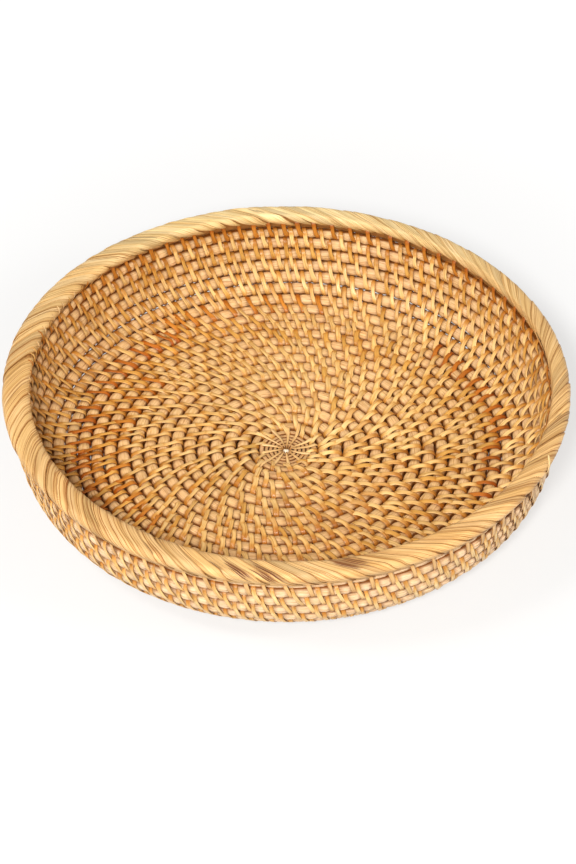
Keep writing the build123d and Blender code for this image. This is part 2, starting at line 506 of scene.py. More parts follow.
def core_piece(name, h0, h1, replaces, seg=1.5, nr=16, bulge=0.43, depth=0.50):
    hs = [h0]
    while hs[-1] < h1:
        p = core_pos(np.array([min(hs[-1], NH + 1.99)]))[0]
        R = max(math.hypot(p[0], p[1]), 2.0)
        step = min(seg, max(0.35, R * 0.16)) / (math.pi * R)
        hs.append(hs[-1] + step)
    hs[-1] = h1
    h = np.array(hs)
    P = core_pos(h)
    R = np.hypot(P[:, 0], P[:, 1])
    r = core_rad(h)
    full = np.clip((h - 10) / 4, 0, 1) * np.clip((NH + 2 - h) / 0.6, 0, 1)
    pi = pinch(h)
    nk = int((h1 - h0) * 26) + 3
    wob = np.interp(h, np.linspace(h0, h1, nk), rng.normal(0, 0.05, nk))
    P = P.copy()
    P[:, 2] += LIFT + wob * 1.3
    rad = np.stack([P[:, 0] / np.maximum(R, 1e-6), P[:, 1] / np.maximum(R, 1e-6),
                    np.zeros(len(h))], -1)
    z = np.array([[0.0, 0.0, 1.0]])
    sl = slope_at(h)[:, None]
    E = rad * np.cos(sl) + z * np.sin(sl)
    N = z * np.cos(sl) - rad * np.sin(sl)
    t = np.linspace(0, 2 * np.pi, nr, endpoint=False)
    up = (1 + np.sin(t)[None]) / 2
    up = up * up * (3 - 2 * up)
    pn = pi[0][:, None] * up + pi[1][:, None] * (1 - up)
    rr = (r[:, None] + full[:, None] * (bulge - depth * pn) + wob[:, None]) * \
        (1 + 0.010 * rng.normal(size=(len(h), 1)))
    # slightly squared where neighbours press on it
    X = rr * (np.sign(np.cos(t)) * np.abs(np.cos(t)) ** 0.90)[None]
    Y = rr * (np.sign(np.sin(t)) * np.abs(np.sin(t)) ** 0.86)[None]
    V = flatten(sweep_tube(P, N, E, X, Y))
    ds = np.linalg.norm(np.diff(P, axis=0), axis=1)
    along = np.concatenate([[0], np.cumsum(ds)])
    per = 2 * math.pi * CORE_R
    across = np.linspace(0, per, nr + 1)
    # each bare bead has its own shade
    nb = int(along[-1] / 5) + 2
    sv = np.interp(along, np.arange(nb) * 5.0, rng.normal(1.0, 0.05, nb))[:, None]
    pk = np.interp(along, np.arange(nb) * 5.0, rng.uniform(0, 1, nb))[:, None]
    # painted shade: the core is darkened on its sides, where the neighbouring turns meet it, and
    # under the strips that cross it; in the fine centre turns it is darker all over as well
    up_wall = np.interp(h, [38, 45], [0.0, 1.0])[:, None]
    gap = np.clip((np.abs(np.cos(t))[None] - 0.72 + 0.04 * up_wall) / 0.24, 0, 1) ** 1.2
    fl = full[:, None]
    dk = np.clip(1.0 * gap + (0.56 - 0.04 * up_wall) * pn * fl, 0, 1)
    if h1 <= 13:
        dk = np.clip(1.0 * gap + 0.25, 0, 1) * np.ones((len(h), 1))
    tint = np.ones((len(h), nr, 4))
    tint[..., 0] = sv * (1 - 0.70 * dk)
    tint[..., 1] = sv * (0.99 - 0.03 * pk) * (1 - 0.86 * dk)
    tint[..., 2] = sv * (0.98 + 0.06 * pk) * (1 - 0.97 * dk)
    # painted light and shade: deeper in colour on the upper face inside the tray, paler and bluer
    # underneath where the white floor lights it, and darker on the front of the floor and on the left
    # wall
    flr = np.interp(h, [38, 44], [1.0, 0.35])[:, None]
    painted_front_shade = np.clip(-P[:, 1] / np.maximum(R, 40) - 0.15, 0, 0.85)[:, None] * flr
    painted_left_wall_shade = np.clip(-P[:, 0] / np.maximum(R, 40), 0, 1)[:, None] * (1 - flr)
    for kx, (ins, outs) in enumerate(((-0.045, -0.03), (-0.12, 0.0), (-0.25, 0.10))):
        tint[..., kx] *= (1 + ins * flr * up + outs * (1 - up)) * \
            (1 - (0.18, 0.21, 0.23)[kx] * painted_front_shade * up) * \
            (1 - (0.03, 0.09, 0.22)[kx] * painted_left_wall_shade * up)
    B = Batch()
    cut = [i for i in range(1, len(h) - 1)
           if int(along[i] / 150) != int(along[i - 1] / 150)]
    B.add(V, along, across, np.clip(tint, 0, 1.3), True, cut)
    if h0 == 0:
        # the cut end of the core stands up in the middle hole
        zz = np.array([1.6, 2.6, 3.6, 4.1, 4.4, 4.5])
        rr = np.array([1.35, 1.45, 1.45, 1.35, 1.0, 0.15])
        q = np.linspace(0, 2 * np.pi, 12, endpoint=False)
        V = np.zeros((6, 12, 3))
        V[..., 0] = rr[:, None] * np.cos(q)[None] * 1.1
        V[..., 1] = rr[:, None] * np.sin(q)[None]
        V[..., 2] = zz[:, None] + 0.1 * rng.normal(size=(1, 12))
        tn = np.tile([1.12, 1.35, 1.95, 1.0], (6, 1))
        # painted shade at its foot, down in the hole
        tn[0] = [.4, .3, .2, 1]
        B.add(V, zz, np.linspace(0, 9, 13), tn, True)
    ob = B.build(name, mat_core)
    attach(ob, "root")
    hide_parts(*replaces)
    return ob


core_piece("core_centre", 0.0, 13.0, ["core_centre_start", "core_tapered_lead"], nr=14)
core_piece("core_floor_inner_rod", 13.0, 21.0, ["core_floor_inner"])
core_piece("core_floor_middle_rod", 21.0, 30.0, ["core_floor_middle"])
core_piece("core_floor_outer_rod", 30.0, 39.0, ["core_floor_outer"])
core_piece("core_bend_rod", 39.0, 47.0, ["core_bend"], bulge=0.47, depth=0.42)
core_piece("core_wall_rod", 47.0, NH + 1.8, ["core_wall", "core_tapered_end"], bulge=0.47, depth=0.42)

# ------------------------------------------------------------------ binding
TOP_N, BOT_N, CAP_N = 9, 6, 4
LIGHT = np.array([1.05, 1.05, 1.12])
GOLD = np.array([0.92, 0.77, 0.50])
RUST = np.array([0.95, 0.80, 0.75])
BROWN = np.array([0.72, 0.43, 0.16])
# pale bluish tone for the passes outside the tray: painted light from the white floor
OUTSIDE_LIT_TONE = np.array([0.96, 1.0, 1.14])


def strand_colours(m, ang):
    """The sewing strand is renewed every dozen stitches or so, and each has
    its own shade."""
    n = len(ang)
    out = np.zeros((n, 3))
    i = 0
    k = m - 2
    while i < n:
        ln = int(rng.integers(8, 17))
        u = rng.random()
        pb, pg = 0.05, 0.16
        deg = math.degrees(ang[i])
        if k >= 9 and 120 < deg < 250:
            pb, pg = 0.14, 0.36
        if k in (13, 14, 15) and 180 < deg < 260:
            pb, pg = 0.30, 0.32
        if k == 12 and (deg > 312 or deg < 12):
            pb, pg, ln = 1.0, 0, min(ln, 5)
        if k == 18:
            pb, pg = 0.03, 0.92
        if k == 19:
            pb, pg = 0.0, 0.06
        if k == 20:
            pb, pg = 0.88, 1.0
        c = BROWN if u < pb else GOLD if u < pb + pg else LIGHT
        c = c * (1 + rng.uniform(-.09, .05))
        if k < 9:
            c = c * 0.45 + LIGHT * 0.55
        out[i:i + ln] = c * RUST if k == 12 and u < pb else c
        i += ln
    if k in (14, 15, 16, 17, 19):
        # paler strands towards the back of the wall: painted light, where the front lamps fall on it
        for i in range(n):
            f = 0.65 * max(0.0, -math.sin(ang[i])) ** 0.5
            out[i] = out[i] * (1 - f) + LIGHT * f
    if k == 12:
        # one red-brown strand in this row, at the right and towards the back
        for i in range(n):
            deg = math.degrees(ang[i])
            if deg > 313 or deg < 12:
                out[i] = BROWN * RUST * (0.97 + 0.06 * math.sin(i * 2.3))
    return out


def binding_rows(name, which, replaces):
    B = Batch()
    for m in which:
        ang = list(rows[m])
        j0 = 10 + 2 * m
        k = m - 2
        is_rim = (m == len(rows) - 1)
        n = len(ang)
        R_here = row_radius(j0)
        strand = strand_colours(m, ang)
        wide = np.interp(R_here, [14, 25, 45, 100, 125, 140],
                         [2.5, 3.05, 2.95, 2.72, 2.50, 2.45])
        for i in range(n):
            a0 = ang[i]
            gap = (ang[(i + 1) % n] - a0) % (2 * math.pi)
            pit = gap * R_here
            lt = lean(j0) * rng.uniform(0.72, 1.28)
            lb = LEAN_UNDER * pit
            hid = pit - lt - lb
            # path: q is the angle round the loop, lat the sideways travel
            q_d, ft, u, lat = [], [], [], []
            for x in np.linspace(0, 1, CAP_N, endpoint=False):      # outer, rising
                q_d.append(90 * x); ft.append(0); u.append(0.12 * x)
                lat.append(0.2 * hid * x)
            for x in np.linspace(0, 1, TOP_N):                        # over the top
                q_d.append(90); ft.append(x); u.append(0.12 + 0.76 * x)
                lat.append(0.2 * hid + lt * (0.52 * x + 0.48 * x ** 3))
            for x in np.linspace(0, 1, 2 * CAP_N + 1)[1:-1]:          # inner gap
                q_d.append(90 + 180 * x); ft.append(1); u.append(0.88 + 0.24 * x)
                lat.append(0.2 * hid + lt + 0.6 * hid * x)
            for x in np.linspace(0, 1, BOT_N):                        # underneath
                q_d.append(270); ft.append(1 - x); u.append(1.12 + 0.76 * x)
                lat.append(0.8 * hid + lt + lb * x)
            for x in np.linspace(0, 1, CAP_N + 1)[1:]:                # outer, rising
                q_d.append(270 + 90 * x); ft.append(0); u.append(1.88 + 0.12 * x)
                lat.append(0.8 * hid + lt + lb + 0.2 * hid * x)
            tq, ft, u, lat = map(np.array, (q_d, ft, u, lat))
            L = len(tq)
            a = a0 + (lat - 0.2 * hid - lt / 2) / R_here
            if is_rim:
                # below the rim coil: the last turn, or the tapered end
                hin = 52 + a / np.pi
                P0, E, N, T, d = frames_at(None, hin, a, "rim")
                r1 = np.full(L, CORE_R)
                r0 = core_rad(hin)
            else:
                hh = np.minimum(j0 + a / np.pi, NH + 1.2)
                P0, E, N, T, d = frames_at(hh, hh - 2, a)
                r1 = core_rad(hh)
                r0 = core_rad(hh - 2)
            off = 0.40
            q = np.radians(tq)
            top = tq == 90
            straight = top | (tq == 270)
            inner = (~straight) & (tq > 90) & (tq < 270)
            outer = (~straight) & ~inner
            sgn = np.where(top, 1.0, -1.0)
            crown = 0.26 + rng.uniform(-0.10, 0.22)
            e = np.where(straight, d * (1 - ft), 0.0)
            nn = np.where(straight, sgn * ((r1 * (1 - ft) + r0 * ft) + off
                                           + crown * np.sin(np.pi * ft)), 0.0)
            e = np.where(outer, d + (r1 + off * 0.6) * np.cos(q), e)
            nn = np.where(outer, (r1 + off) * np.sin(q), nn)
            e = np.where(inner, (r0 + off * 0.6) * np.cos(q), e)
            nn = np.where(inner, (r0 + off) * np.sin(q), nn)
            P = P0 + E * e[:, None] + N * nn[:, None]
            P[:, 2] += LIFT
            nx = np.where(straight, 0, np.cos(q))
            ny = np.where(straight, sgn, np.sin(q))
            S_n = unit(E * nx[:, None] + N * ny[:, None])
            Tg = unit(np.gradient(P, axis=0))
            W = unit(np.cross(Tg, S_n))
            Nn = np.cross(W, Tg)
            w = wide * rng.uniform(0.86, 1.12)
            ws = np.interp(u, [0, 0.12, 0.3, 0.62, 0.88, 1.0, 1.5, 2.0],
                           [1.02, 1.08, 0.97, 0.90, 1.14, 0.90, 0.95, 1.0]) * w
            th = 0.48
            prof_x = np.array([-.5, -.45, -.24, 0, .24, .45, .5, 0.3, -.3])
            prof_y = np.array([0.30, .86, 1.0, 1.0, 1.0, .86, 0.30, 0.0, 0.0]) - 0.45
            X = ws[:, None] * prof_x[None]
            Y = np.full((L, 1), th) * prof_y[None]
            Y = Y + 0.05 * rng.normal(size=(1, 9)) * th
            # rolled a little towards the working direction
            tw = rng.normal(0, 0.07) + 0.17 * np.sin(np.pi * np.clip(u, 0, 1))
            Y = Y + X * tw[:, None]
            V = flatten(sweep_tube(P, Nn, W, X, Y))
            ds = np.linalg.norm(np.diff(P, axis=0), axis=1)
            along = np.concatenate([[0], np.cumsum(ds)]) + rng.uniform(0, 400)
            across = np.concatenate([[0], np.cumsum(np.full(9, 6.0 / 9))]) + rng.uniform(0, 60)
            g = rng.normal(1.0, 0.045)
            c = strand[i].copy()
            if rng.random() < 0.05:
                c = GOLD * rng.uniform(.9, 1)
            # painted shade: the strand darkens where it dives into the gaps between the turns, along
            # its edges and on its underside
            end_shade = np.interp(u, [0, 0.10, 0.28, 0.75, 0.88, 1.0, 1.14, 1.8, 1.9, 2.0],
                             [0.18, 0.50, 0.90, 1.08, 0.98, 0.20, 0.90, 1.0, .75, 0.2])
            tint = np.ones((L, 9, 4))
            edge_shade = np.array([.40, .87, 1, 1, 1, .87, .40, .3, .3])
            for kx, (pw, pe) in enumerate(((0.45, .7), (0.85, 1.1), (1.6, 1.7))):
                # painted light and shade: the passes outside the tray are blended towards a pale
                # bluish tone where the white floor lights them; the rows inside the tray are deeper
                # in colour, most on the floor, and the front of the floor and the left wall darker
                outside_lit = np.interp(u, [1.0, 1.15, 1.85, 2.0], [0, .6, .6, 0])
                painted_shade = (-0.05, -0.115, -0.23)[kx] * np.interp(k, [0, 7, 11, 15], [.45, 1, 1, .2])
                painted_shade -= (0.15, 0.18, 0.20)[kx] * np.interp(k, [12, 14], [1, .3]) * \
                    min(max(math.sin(a0) - 0.15, 0), 0.85)
                painted_shade -= (0.02, 0.07, 0.17)[kx] * np.interp(k, [11, 14], [0, 1]) * \
                    max(-math.cos(a0), 0)
                ck = c[kx] * (1 + painted_shade) * (1 - outside_lit) + OUTSIDE_LIT_TONE[kx] * outside_lit
                tint[..., kx] = g * (ck * end_shade ** pw)[:, None] * (edge_shade ** pe)[None]
            B.add(V, along, across, np.clip(tint, 0, 1.5), True)
    ob = B.build(name, mat_bind)
    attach(ob, "root")
    if replaces:
        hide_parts(*replaces)
    return ob


def rn(k):
    """CAD node of full-size row k (0-based)."""
    return "binding_%s_row_%02d" % ("floor" if k < 13 else "wall", k + 1)


def group(name, k0, k1, extra=()):
    binding_rows(name, [k + 2 for k in range(k0, k1 + 1)] + list(extra),
                 [rn(k) for k in range(k0, k1 + 1)])


binding_rows("stitches_first_rows", [0, 1], ["binding_first_rows"])
group("stitches_floor_01_04", 0, 3)
group("stitches_floor_05_07", 4, 6)
group("stitches_floor_08_09", 7, 8)
group("stitches_floor_10_11", 9, 10)
group("stitches_floor_12_13", 11, 12)
group("stitches_wall_14_15", 13, 14)
group("stitches_wall_16_17", 15, 16)
group("stitches_wall_18_19", 17, 18)
group("stitches_wall_20_top", 19, 19, [len(rows) - 1])

# long radial stitches over the fine turns
B = Batch()
nc = 13
for i in range(nc):
    a0 = 2 * np.pi * (i + rng.uniform(-.2, .2)) / nc
    r_out = rng.choice([15.0, 18.0, 21.5], p=[.3, .4, .3]) + rng.uniform(-.5, .5)
    curve = rng.uniform(-0.05, 0.28)
    for side in (1, -1):
        n = 16
        t = np.linspace(0, 1, n)
        r = 1.75 + (r_out - 1.75) * t
        a = a0 - curve * t ** 1.5
        h_top = np.interp(r, [1, 2.5, 12, 15, 18, 22], [0.2, 1.35, 1.65, 2.3, 2.95, 3.5])
        endd = np.interp(t, [0, .06, .9, 1.0], [-1.0, 0, 0, -2.2])
        z = FLOOR_Z + LIFT + side * (h_top + 0.1 + endd)
        P = np.stack([r * np.cos(a), -r * np.sin(a), z], -1)
        Tg = unit(np.gradient(P, axis=0))
        S_n = np.tile([0, 0, float(side)], (n, 1))
        W = unit(np.cross(Tg, S_n))
        Nn = np.cross(W, Tg)
        ws = np.interp(t, [0, .3, .8, 1], [0.55, 1.25, 2.1, 1.7])
        px = np.array([-.5, -.42, 0, .42, .5, 0])
        py = np.array([0.2, .7, 1.0, .7, 0.2, 0.0]) - 0.4
        V = flatten(sweep_tube(P, Nn, W, ws[:, None] * px[None],
                               np.full((n, 1), 0.42) * py[None]))
        ds = np.linalg.norm(np.diff(P, axis=0), axis=1)
        along = np.concatenate([[0], np.cumsum(ds)]) + rng.uniform(0, 99)
        across = np.linspace(0, 4, 7) + rng.uniform(0, 50)
        tint = np.ones((n, 4))
        g = rng.normal(0.98, 0.05)
        # painted shade: darker at both ends, where the stitch dives between the turns
        end_shade = np.interp(t, [0, .1, .3, .85, 1], [0.3, .55, .85, 1.0, .5])
        tint[:, 0] = g * end_shade ** .6
        tint[:, 1] = g * 0.96 * end_shade ** .9
        tint[:, 2] = g * 1.05 * end_shade ** 1.3
        B.add(V, along, across, tint, True)
ob = B.build("stitches_centre", mat_bind)
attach(ob, "root"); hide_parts("binding_centre")

# ------------------------------------------------------------------ rim
RODS = [(143.5, 47.0, 3.1), (146.6, 51.75, 2.75), (140.6, 51.75, 2.75)]


def outline(extra):
    """Rounded hull of the three rods in the (radius, height) plane."""
    q = np.linspace(0, 2 * np.pi, 721)
    n = np.stack([np.cos(q), np.sin(q)], -1)
    c = np.array([[a, b] for a, b, r in RODS])
    r = np.array([r for a, b, r in RODS])
    s = (n @ (c - c.mean(0)).T) + r + extra
    w = np.exp(2.2 * (s - s.max(-1, keepdims=True)))
    w /= w.sum(-1, keepdims=True)
    p = w @ c + n * ((w @ r) + extra)[..., None]
    ds = np.linalg.norm(np.diff(p, axis=0), axis=1)
    sig = np.concatenate([[0], np.cumsum(ds)])
    return q, sig, p


OQ, OS, OP = outline(0.0)
PERIM = OS[-1]


def rim_surf(sig, ang, off):
    """Point of the rim's surface: sig is the length round the section from
    the outermost point, going up and inwards; ang is clockwise from +X."""
    sg = np.mod(sig, PERIM)
    q = np.interp(sg, OS, OQ)
    pr = np.interp(sg, OS, OP[:, 0])
    pz = np.interp(sg, OS, OP[:, 1])
    nr, nz = np.cos(q), np.sin(q)
    # the wrap is looser on one side of the tray than on the other
    full = -0.5 - 2.2 * np.cos(ang) + 1.5 * np.sin(ang)
    pr = pr - full * np.clip(-nr, 0, 1) ** 0.8 + nr * off
    wav = 0.18 * np.sin(ang * 7 + 1.3) + 0.12 * np.sin(ang * 17 + .4)
    pz = pz + nz * off + wav * np.clip(nz, 0, 1)
    return np.stack([pr * np.cos(ang), -pr * np.sin(ang), pz], -1)


def rim_base():
    nu, nv = 420, 30
    th = np.linspace(0, 2 * np.pi, nu)
    sg = np.linspace(0, PERIM, nv, endpoint=False)
    V = rim_surf(np.tile(sg[None], (nu, 1)), np.tile(th[:, None], (1, nv)), 0.0)
    B = Batch()
    along = th * 143.5
    across = np.linspace(0, 40, nv + 1)
    # painted shade: dark where it shows between the strips; pale where it shows under their outer
    # ends
    low = np.interp(sg, [0, PERIM - 9, PERIM - 6, PERIM - 2.5, PERIM], [0, 0, 1, 1, 0])
    tint = np.ones((nu, nv, 4))
    for kx, (dk, pl) in enumerate(((0.52, 0.86), (0.34, 0.74), (0.20, 0.60))):
        tint[..., kx] = (dk + (pl - dk) * low)[None]
    B.add(V, along, across, tint, False, [nu // 4, nu // 2, 3 * nu // 4])
    ob = B.build("rim_under_wrap", mat_rim)
    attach(ob, "root")
    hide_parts("rim_coil", "rim_rod_inner", "rim_rod_outer")


rim_base()

NS = 120
SIG_TOP = float(np.interp(math.pi / 2, OQ, OS))      # length up to the crest
SPAN_IN, SPAN_OUT = 11.6, 12.6                       # reach down each side
SLANT = math.tan(math.radians(29.0))
strip_a = (np.arange(NS) + rng.uniform(-.32, .32, NS)) * 2 * np.pi / NS
quads = [Batch() for _ in range(4)]
# brown skin left on the strip: (clockwise degrees, place, length, strength)
SKIN = [(102.3, .62, .17, 1.0), (98.6, .67, .12, .9), (95.2, .60, .20, 1.0),
        (105.6, .54, .08, .5), (79.0, .46, .15, .95), (74.6, .43, .18, .9),
        (120.0, .62, .10, .55), (262.0, .5, .06, .3), (12.0, .55, .06, .3)]
# splits in the strips, painted as dark lines: the shade in the crack
SLIT = [(113.5, .45, .05), (110.0, .61, .08), (13.0, .30, .06)]
for i in range(NS):
    a0 = strip_a[i]
    n = 40
    t = np.linspace(0, 1, n)
    slant = SLANT * rng.uniform(0.93, 1.08)
    d_in, d_out = rng.uniform(-2.0, 1.5), rng.uniform(-1.6, 1.4)
    sc = SIG_TOP + SPAN_IN + d_in - (SPAN_IN + d_in + SPAN_OUT + d_out) * t
    along_rim = -(SIG_TOP - sc) / slant              # clockwise positive
    curve = rng.uniform(-.5, .5) * np.sin(np.pi * t)
    ang_c = a0 + (along_rim + curve) / 143.5
    w = rng.uniform(4.3, 7.4)
    ws = np.interp(t, [0, .08, .22, .5, .80, .92, 1],
                   [.14, .46, .88, 1.0, .92, .52, .16]) * w
    px = np.array([-.5, -.47, -.34, -.17, 0, .17, .34, .47, .5, .25, -.25])
    py = np.array([0.2, .85, 1, 1.0, 1.0, 1.0, 1.0, .85, 0.2, 0.0, 0.0])
    x = ws[:, None] * px[None]
    # across the strip: perpendicular to its own direction on the surface
    cs, sn = math.cos(math.atan(slant)), math.sin(math.atan(slant))
    sg = sc[:, None] + x * cs
    an = ang_c[:, None] - x * sn / 143.5
    th = 0.32
    fib = 0.07 * rng.normal(size=(1, 11)) * (py[None] > .9)
    tilt = rng.uniform(0.16, 0.42)
    off = 0.10 + tilt * (px + .5)[None] + th * py[None] + fib
    end = np.interp(t, [0, .06, .94, 1], [-.35, 0, 0, -.45])[:, None]
    lift = rng.choice([-.06, .0, .05, .22], p=[.3, .3, .25, .15])
    V = rim_surf(sg, an, off + end + lift)
    ctr = V[:, 4]
    ds = np.linalg.norm(np.diff(ctr, axis=0), axis=1)
    along = np.concatenate([[0], np.cumsum(ds)]) + rng.uniform(0, 900)
    m = len(px)
    across = np.concatenate([[0], np.cumsum(np.full(m, 13.0 / m))]) + rng.uniform(0, 200)
    g = rng.normal(0.96, 0.075)
    yel = rng.uniform(0, 1)
    # painted shade: darker towards both ends, where the strip tucks under
    end_shade = np.interp(t, [0, .06, .14, .5, .88, .95, 1.0], [0.35, .7, .95, 1.03, 1.0, .75, .4])
    tint = np.ones((n, m, 4))
    # painted shade: a dark line down each edge, where the strips overlap, fainter at the back of the
    # rim
    overlap_shade = rng.choice([0.22, 0.45, 0.8], p=[.35, .35, .3])
    edge_shade = np.interp(px, [-.5, -.40, .36, .5], [0.45, 0.96, 1.0, overlap_shade])
    edge_shade = 1 - (1 - edge_shade) * (1 - 0.6 * max(0.0, -math.sin(a0)))
    # painted light and shade: brighter at the back of the rim, darker at its front, left and right,
    # as the lamps fall on it
    side = 0.88 + 0.24 * max(0.0, -math.sin(a0)) ** 1.5 - 0.08 * max(0.0, math.cos(a0)) - \
        0.06 * max(0.0, -math.cos(a0)) - 0.06 * max(0.0, math.sin(a0))
    for kx, (cc, pw) in enumerate(((1.0, .5), (0.99 - .03 * yel, .85), (0.98 - .14 * yel, 1.4))):
        tint[..., kx] = g * cc * side ** (0.6 + 0.6 * kx) * end_shade[:, None] ** pw * edge_shade[None] ** pw
    deg = math.degrees(a0) % 360
    skins = []
    for d0, c0, ln, k0 in SKIN:
        dd = abs((deg - d0 + 180) % 360 - 180)
        if dd < 1.55:
            f = np.clip(1.3 - np.abs((t - c0) / ln) ** 2, 0, 1)[:, None] * \
                np.array([0, 0, 0, .1, .8, 1, .8, .1, 0, 0, 0])[None]
            f = np.clip(f, 0, 1) * k0 * 0.55 * (0.85 + 0.3 * rng.random((n, m)))
            f = np.clip(f, 0, 1)
            skins += [(xs, c0 + rng.uniform(-.05, .05), ln * rng.uniform(.75, 1.3), k0)
                      for xs in (-.12, .03, .19)[:3 if k0 > .8 else 2]]
            for kx, dv in enumerate((0.30, 0.115, 0.03)):
                tint[..., kx] *= 1 - f * (1 - dv)
    for d0, c0, ln in SLIT:
        dd = abs((deg - d0 + 180) % 360 - 180)
        if dd < 1.5:
            f = np.clip(1.3 - np.abs((t - c0) / ln) ** 2, 0, 1)[:, None] * \
                np.array([0, 0, 0, 0, 0, 0, 0, 1, 1, 0, 0])[None]
            for kx in range(3):
                tint[..., kx] *= 1 - f * 0.93
    qd = int((a0 % (2 * np.pi)) / (np.pi / 2)) % 4
    quads[qd].add(V, along, across, np.clip(tint, 0, 1.4), True)
    for xs, c0, ln, k0 in skins:
        # a sliver of brown skin lying in the strip's surface
        nn_ = 16
        v = np.linspace(0, 1, nn_)
        tt = np.clip(c0 + ln * (2 * v - 1), 0.02, 0.98)
        wd = rng.uniform(.09, .15) * w * np.sin(np.pi * (0.03 + 0.94 * v)) ** 0.55
        pk = np.array([-.5, -.36, 0, .36, .5, 0])
        hk = np.array([-.10, .05, .07, .05, -.10, -.16])
        xx = xs * np.interp(tt, t, ws)[:, None] + wd[:, None] * pk[None]
        rel = xx / np.maximum(np.interp(tt, t, ws)[:, None], 1e-6)
        scs = np.interp(tt, t, sc)
        acs = np.interp(tt, t, ang_c)
        of = 0.10 + tilt * (rel + .5) + np.interp(rel, px[:9], (th * py + fib[0])[:9]) + \
            hk[None] * np.sin(np.pi * (0.08 + 0.84 * v))[:, None] ** .5
        of = of + np.interp(tt, t, end[:, 0])[:, None] + lift
        Vs = rim_surf(scs[:, None] + xx * cs, acs[:, None] - xx * sn / 143.5, of)
        cc_ = np.concatenate([[0], np.cumsum(np.linalg.norm(np.diff(Vs[:, 2], axis=0), axis=1))])
        tn = np.ones((nn_, 6, 4))
        dk = rng.uniform(.8, 1.3)
        fade = (1 - (2 * v - 1) ** 6)[:, None]
        for kx, dv in enumerate((0.17, 0.06, 0.02)):
            tn[..., kx] = 0.8 + (dv * dk - 0.8) * (0.35 + 0.65 * k0) * fade
        quads[qd].add(Vs, cc_ + rng.uniform(0, 99), np.linspace(0, 2, 7), tn, True)
for i in range(25):
    a0 = math.radians(163 + 2.45 * i + rng.uniform(-.4, .4))
    nn_ = 20
    v = np.linspace(0, 1, nn_)
    reach = 5.2 * math.sin(math.pi * (i + 1.2) / 27) ** 0.6 + rng.uniform(-.7, .7)
    sgc = SIG_TOP + SPAN_IN + 0.5 - (SPAN_IN + 0.5 - 9.6 + reach) * v
    lean_up = rng.uniform(.16, .34)
    acx = a0 + (SIG_TOP + SPAN_IN - sgc) * lean_up / 143.5 * np.ones(nn_)
    wv = np.interp(v, [0, .35, .7, .92, 1], [2.3, 2.3, 1.7, .8, .25]) * rng.uniform(.85, 1.1)
    pk = np.array([-.5, -.42, -.2, .2, .42, .5, .25, -.25])
    hk = np.array([.30, .80, 1.0, 1.0, .80, .30, 0.0, 0.0]) * 0.45
    xx = wv[:, None] * pk[None]
    of = 0.42 + hk[None] + np.interp(v, [0, .1, .85, 1], [-.5, 0.10, 0.14, -.28])[:, None]
    Vs = rim_surf(sgc[:, None] + xx * .24, acx[:, None] + xx * .97 / 143.5, of)
    cc_ = np.concatenate([[0], np.cumsum(np.linalg.norm(np.diff(Vs[:, 2], axis=0), axis=1))])
    base = (LIGHT, GOLD, LIGHT, BROWN * 1.1)[int(rng.integers(0, 4))] * rng.uniform(.86, 1.0)
    # painted shade: darker at both ends and along the edges
    tip_shade = np.interp(v, [0, .2, .6, .9, 1], [.45, .8, 1.0, .85, .5])
    tip_edge_shade = np.array([.55, .92, 1, 1, .92, .55, .4, .4])
    tn = np.ones((nn_, 8, 4))
    for kx, pw in enumerate((.5, .9, 1.5)):
        tn[..., kx] = base[kx] * (tip_shade ** pw)[:, None] * (tip_edge_shade ** pw)[None]
    quads[int((a0 % (2 * np.pi)) / (np.pi / 2)) % 4].add(
        Vs[:, ::-1], cc_ + rng.uniform(0, 99), np.linspace(0, 4, 9), tn[:, ::-1], True)
for (s0, s1, b0, b1, wm, up0, up1, col) in (
        (SIG_TOP + 6.0, SIG_TOP + 7.4, 343.0, 354.5, 0.75, .50, .50, (0.10, 0.05, 0.025)),
        (SIG_TOP - 3.5, SIG_TOP - 9.0, 23.5, 27.0, 1.7, .40, .80, (1.0, 0.96, 0.90))):
    nn_ = 18
    v = np.linspace(0, 1, nn_)
    pk = np.array([-.5, -.36, 0, .36, .5, 0])
    hk = np.array([-.02, .16, .20, .16, -.02, -.12])
    wv = wm * np.sin(np.pi * (0.06 + 0.88 * v)) ** 0.5
    sgc = s0 + (s1 - s0) * v
    acx = np.radians(b0 + (b1 - b0) * v)
    dsg, dan = s1 - s0, math.radians(b1 - b0) * 143.5
    dl = math.hypot(dsg, dan)
    xx = wv[:, None] * pk[None]
    of = 0.16 + (up0 + (up1 - up0) * v ** 2)[:, None] + hk[None]
    Vs = rim_surf(sgc[:, None] - xx * dan / dl, acx[:, None] + xx * dsg / dl / 143.5, of)
    cc_ = np.concatenate([[0], np.cumsum(np.linalg.norm(np.diff(Vs[:, 2], axis=0), axis=1))])
    tn = np.tile([*col, 1.0], (nn_, 1))
    quads[int(math.radians(b0) / (np.pi / 2)) % 4].add(
        Vs, cc_, np.linspace(0, 3, 7), tn, True)
for k, Bq in enumerate(quads):
    ob = Bq.build("rim_wrap_strips_%d" % (k + 1), mat_rim)
    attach(ob, "root")
    if k == 0:
        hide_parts("rim_wrap")

# ------------------------------------------------------------------ stage


def plain(name, color, rough):
    m, nt, b = new_mat(name)
    b.inputs["Base Color"].default_value = (*color, 1)
    b.inputs["Roughness"].default_value = rough
    b.inputs["Specular IOR Level"].default_value = 0.1
    return m


